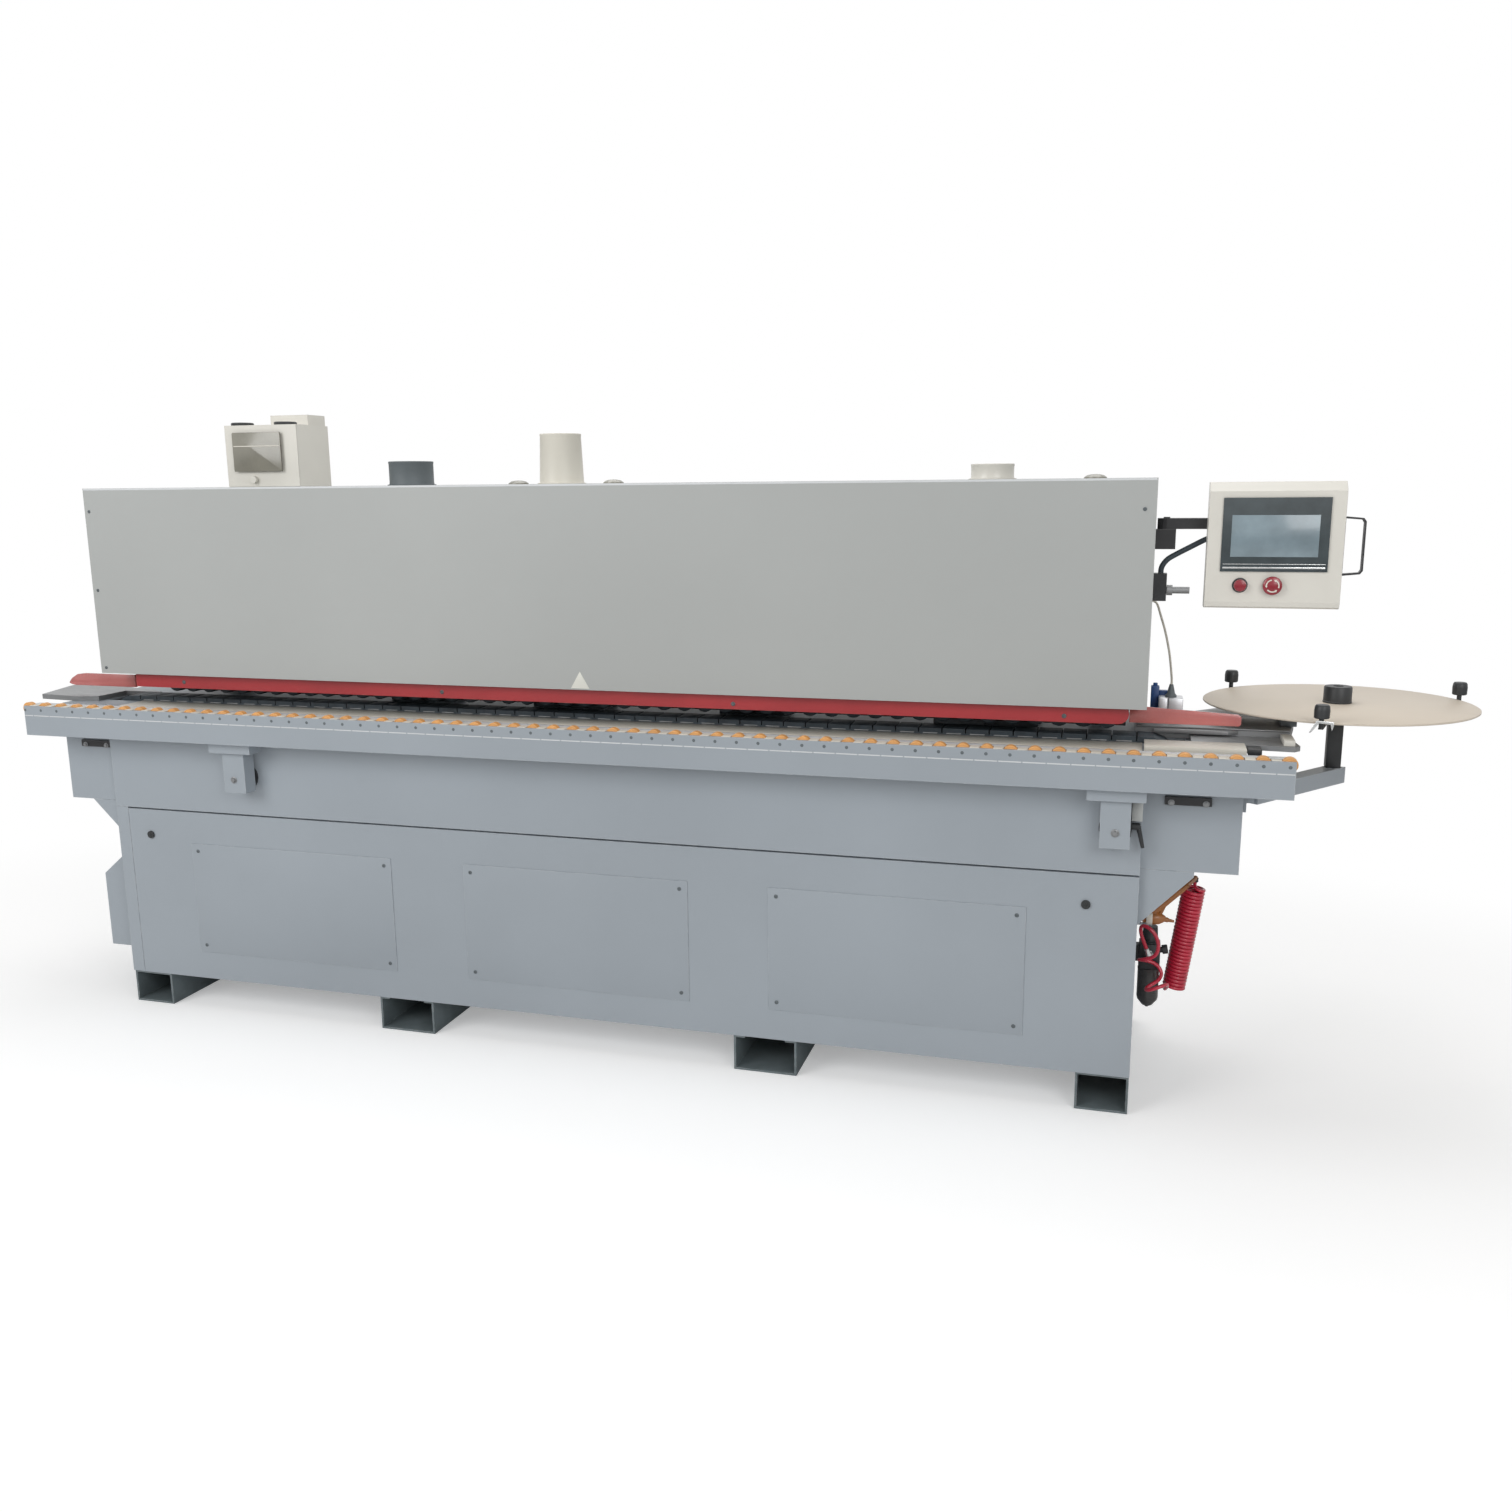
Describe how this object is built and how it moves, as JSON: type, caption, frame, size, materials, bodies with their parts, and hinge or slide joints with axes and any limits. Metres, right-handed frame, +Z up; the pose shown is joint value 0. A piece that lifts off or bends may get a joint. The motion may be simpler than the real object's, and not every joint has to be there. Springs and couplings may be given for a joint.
{
  "type": "edge banding machine",
  "caption": "Automatic edge banding machine: cabinet base, hooded pressure beam over a pad conveyor, pull-out roller rail, swing-arm operator panel and round tape tray.",
  "frame": {"origin": "middle of the machine's outline on the floor", "axes": "+X along the feed line from the outfeed end to the infeed end, -Y to the operator, +Z up"},
  "size_m": [4.383, 0.863, 1.888],
  "materials": {
    "cabinet_paint": "fine-textured blue-grey powder coat",
    "hood_paint": "fine-textured warm grey powder coat",
    "foot_paint": "satin slate paint",
    "cream_paint": "satin off-white enamel",
    "orange_plastic": "moulded orange plastic",
    "black_rubber": "moulded black rubber",
    "black_paint": "satin black paint",
    "black_plastic": "moulded black plastic",
    "steel": "ground steel",
    "zinc": "bright zinc plating",
    "aluminium": "anodised aluminium",
    "cast_iron": "dark painted casting",
    "red_paint": "gloss red paint",
    "red_plastic": "gloss red plastic",
    "red_guard": "tinted transparent red plastic",
    "red_hose": "translucent red polyurethane",
    "tray_board": "beige laminated board",
    "grey_plastic": "moulded grey plastic",
    "white_plastic": "moulded off-white plastic",
    "blue_plastic": "moulded blue plastic",
    "screen_glass": "glossy dark touch screen",
    "gun_plastic": "moulded orange-brown plastic",
    "sticker": "plain vinyl label"
  },
  "bodies": {
    "root": {"base_beam": "cabinet_paint", "cabinet_shell": "cabinet_paint", "upper_fascia": "cabinet_paint", "foot_1": "foot_paint", "foot_2": "foot_paint", "foot_3": "foot_paint", "foot_4": "foot_paint", "side_box": "cabinet_paint", "guide_bush_left": "black_plastic", "guide_bush_right": "black_plastic", "pad_chain": "black_rubber", "track_guide": "steel", "gear_motor": "cast_iron", "height_indicator": "black_plastic", "upper_frame": "cabinet_paint", "hood_shell": "hood_paint", "glue_unit": "cast_iron", "end_trim_unit": "cast_iron", "flush_trim_unit": "cast_iron", "buffing_unit": "cast_iron", "spray_box": "cream_paint", "grey_dust_port": "grey_plastic", "tall_dust_port": "white_plastic", "cream_dust_port": "cream_paint", "outfeed_plate": "steel", "infeed_table": "steel", "infeed_cylinder": "aluminium", "air_tube": "white_plastic", "arm_bracket": "black_paint", "tray_arm": "cabinet_paint", "air_regulator": "black_plastic", "hose_lead": "red_hose", "hose_coil": "red_hose", "air_gun": "gun_plastic"},
    "rail": {"support_rail": "cabinet_paint", "roller_row": "orange_plastic", "rail_bracket_left": "cabinet_paint", "rail_bracket_right": "cabinet_paint"},
    "clamp_lever": {"clamp_lever": "black_plastic"},
    "hood_door": {"hood_door": "hood_paint"},
    "front_panel": {"front_panel": "cabinet_paint"},
    "panel_lock_left": {"panel_lock_left": "black_plastic"},
    "panel_lock_right": {"panel_lock_right": "black_plastic"},
    "pressure": {"pressure_beam": "cabinet_paint", "pressure_wheels": "black_rubber", "red_strip": "red_paint"},
    "height_spindle": {"height_spindle": "steel"},
    "hmi_arm": {"hmi_arm": "black_paint", "hmi_cable": "black_rubber"},
    "hmi": {"hmi_box": "cream_paint", "hmi_screen": "screen_glass", "hmi_handle": "black_paint"},
    "estop": {"estop_button": "red_plastic"},
    "start_button": {"start_button": "red_plastic"},
    "tray": {"tape_tray": "tray_board"},
    "drive_sprocket": {"drive_sprocket": "steel"},
    "idler_sprocket": {"idler_sprocket": "steel"},
    "glue_roller": {"glue_roller": "steel"},
    "regulator_knob": {"regulator_knob": "black_plastic"},
    "spray_box_door": {"spray_box_door": "cream_paint"}
  },
  "joints": [
    {"name": "rail_slide", "type": "slide", "parent": "root", "child": "rail", "axis": [0, -1, 0], "range_m": [0, 0.3]},
    {"name": "clamp_lever_turn", "type": "hinge", "parent": "root", "child": "clamp_lever", "pos_m": [1.326, -0.3555, 0.8], "axis": [1, 0, 0], "range_deg": [-75, 15]},
    {"name": "hood_door_hinge", "type": "hinge", "parent": "root", "child": "hood_door", "pos_m": [-0.1765, -0.3305, 1.666], "axis": [-1, 0, 0], "range_deg": [0, 85]},
    {"name": "front_panel_tilt", "type": "hinge", "parent": "root", "child": "front_panel", "pos_m": [-0.1765, -0.3315, 0.106], "axis": [1, 0, 0], "range_deg": [0, 60]},
    {"name": "panel_lock_left_turn", "type": "hinge", "parent": "front_panel", "child": "panel_lock_left", "pos_m": [-1.6935, -0.3315, 0.577], "axis": [0, -1, 0], "range_deg": [0, 90]},
    {"name": "panel_lock_right_turn", "type": "hinge", "parent": "front_panel", "child": "panel_lock_right", "pos_m": [1.2215, -0.3315, 0.577], "axis": [0, 1, 0], "range_deg": [0, 90]},
    {"name": "pressure_slide", "type": "slide", "parent": "root", "child": "pressure", "axis": [0, 0, 1], "range_m": [0, 0.05]},
    {"name": "height_spindle_turn", "type": "hinge", "parent": "root", "child": "height_spindle", "pos_m": [1.3495, -0.2315, 1.388], "axis": [1, 0, 0], "range_deg": [0, 3601]},
    {"name": "hmi_arm_swing", "type": "hinge", "parent": "root", "child": "hmi_arm", "pos_m": [1.3755, -0.2315, 1.5405], "axis": [0, 0, 1], "range_deg": [-70, 60]},
    {"name": "hmi_swivel", "type": "hinge", "parent": "hmi_arm", "child": "hmi", "pos_m": [1.6235, -0.2315, 1.5405], "axis": [0, 0, 1], "range_deg": [0, 60]},
    {"name": "estop_press", "type": "slide", "parent": "hmi", "child": "estop", "axis": [0, 1, 0], "range_m": [0, 0.0055], "stiffness_N_per_m": 600, "springref_m": -0.003},
    {"name": "start_button_press", "type": "slide", "parent": "hmi", "child": "start_button", "axis": [0, 1, 0], "range_m": [0, 0.0035], "stiffness_N_per_m": 500, "springref_m": -0.002},
    {"name": "tray_spin", "type": "hinge", "parent": "root", "child": "tray", "pos_m": [1.8465, 0.0865, 1.068], "axis": [0, 0, 1], "continuous": true},
    {"name": "drive_sprocket_spin", "type": "hinge", "parent": "root", "child": "drive_sprocket", "pos_m": [-1.8095, -0.1785, 0.92], "axis": [0, 1, 0], "continuous": true},
    {"name": "idler_sprocket_spin", "type": "hinge", "parent": "root", "child": "idler_sprocket", "pos_m": [1.3565, -0.1785, 0.92], "axis": [0, 1, 0], "continuous": true},
    {"name": "glue_roller_spin", "type": "hinge", "parent": "root", "child": "glue_roller", "pos_m": [0.8185, -0.0865, 1.0178], "axis": [0, 0, 1], "continuous": true},
    {"name": "regulator_knob_turn", "type": "hinge", "parent": "root", "child": "regulator_knob", "pos_m": [1.3905, -0.1315, 0.434], "axis": [0, 0, 1], "range_deg": [0, 900]},
    {"name": "spray_box_door_swing", "type": "hinge", "parent": "root", "child": "spray_box_door", "pos_m": [-1.4015, -0.1819, 1.6664], "axis": [0, 0, -1], "range_deg": [0, 110]}
  ],
  "couplings": [
    {"joint": "idler_sprocket_spin", "follows": "drive_sprocket_spin", "ratio": 1},
    {"joint": "height_spindle_turn", "follows": "pressure_slide", "rad_per_m": 1256.6}
  ]
}
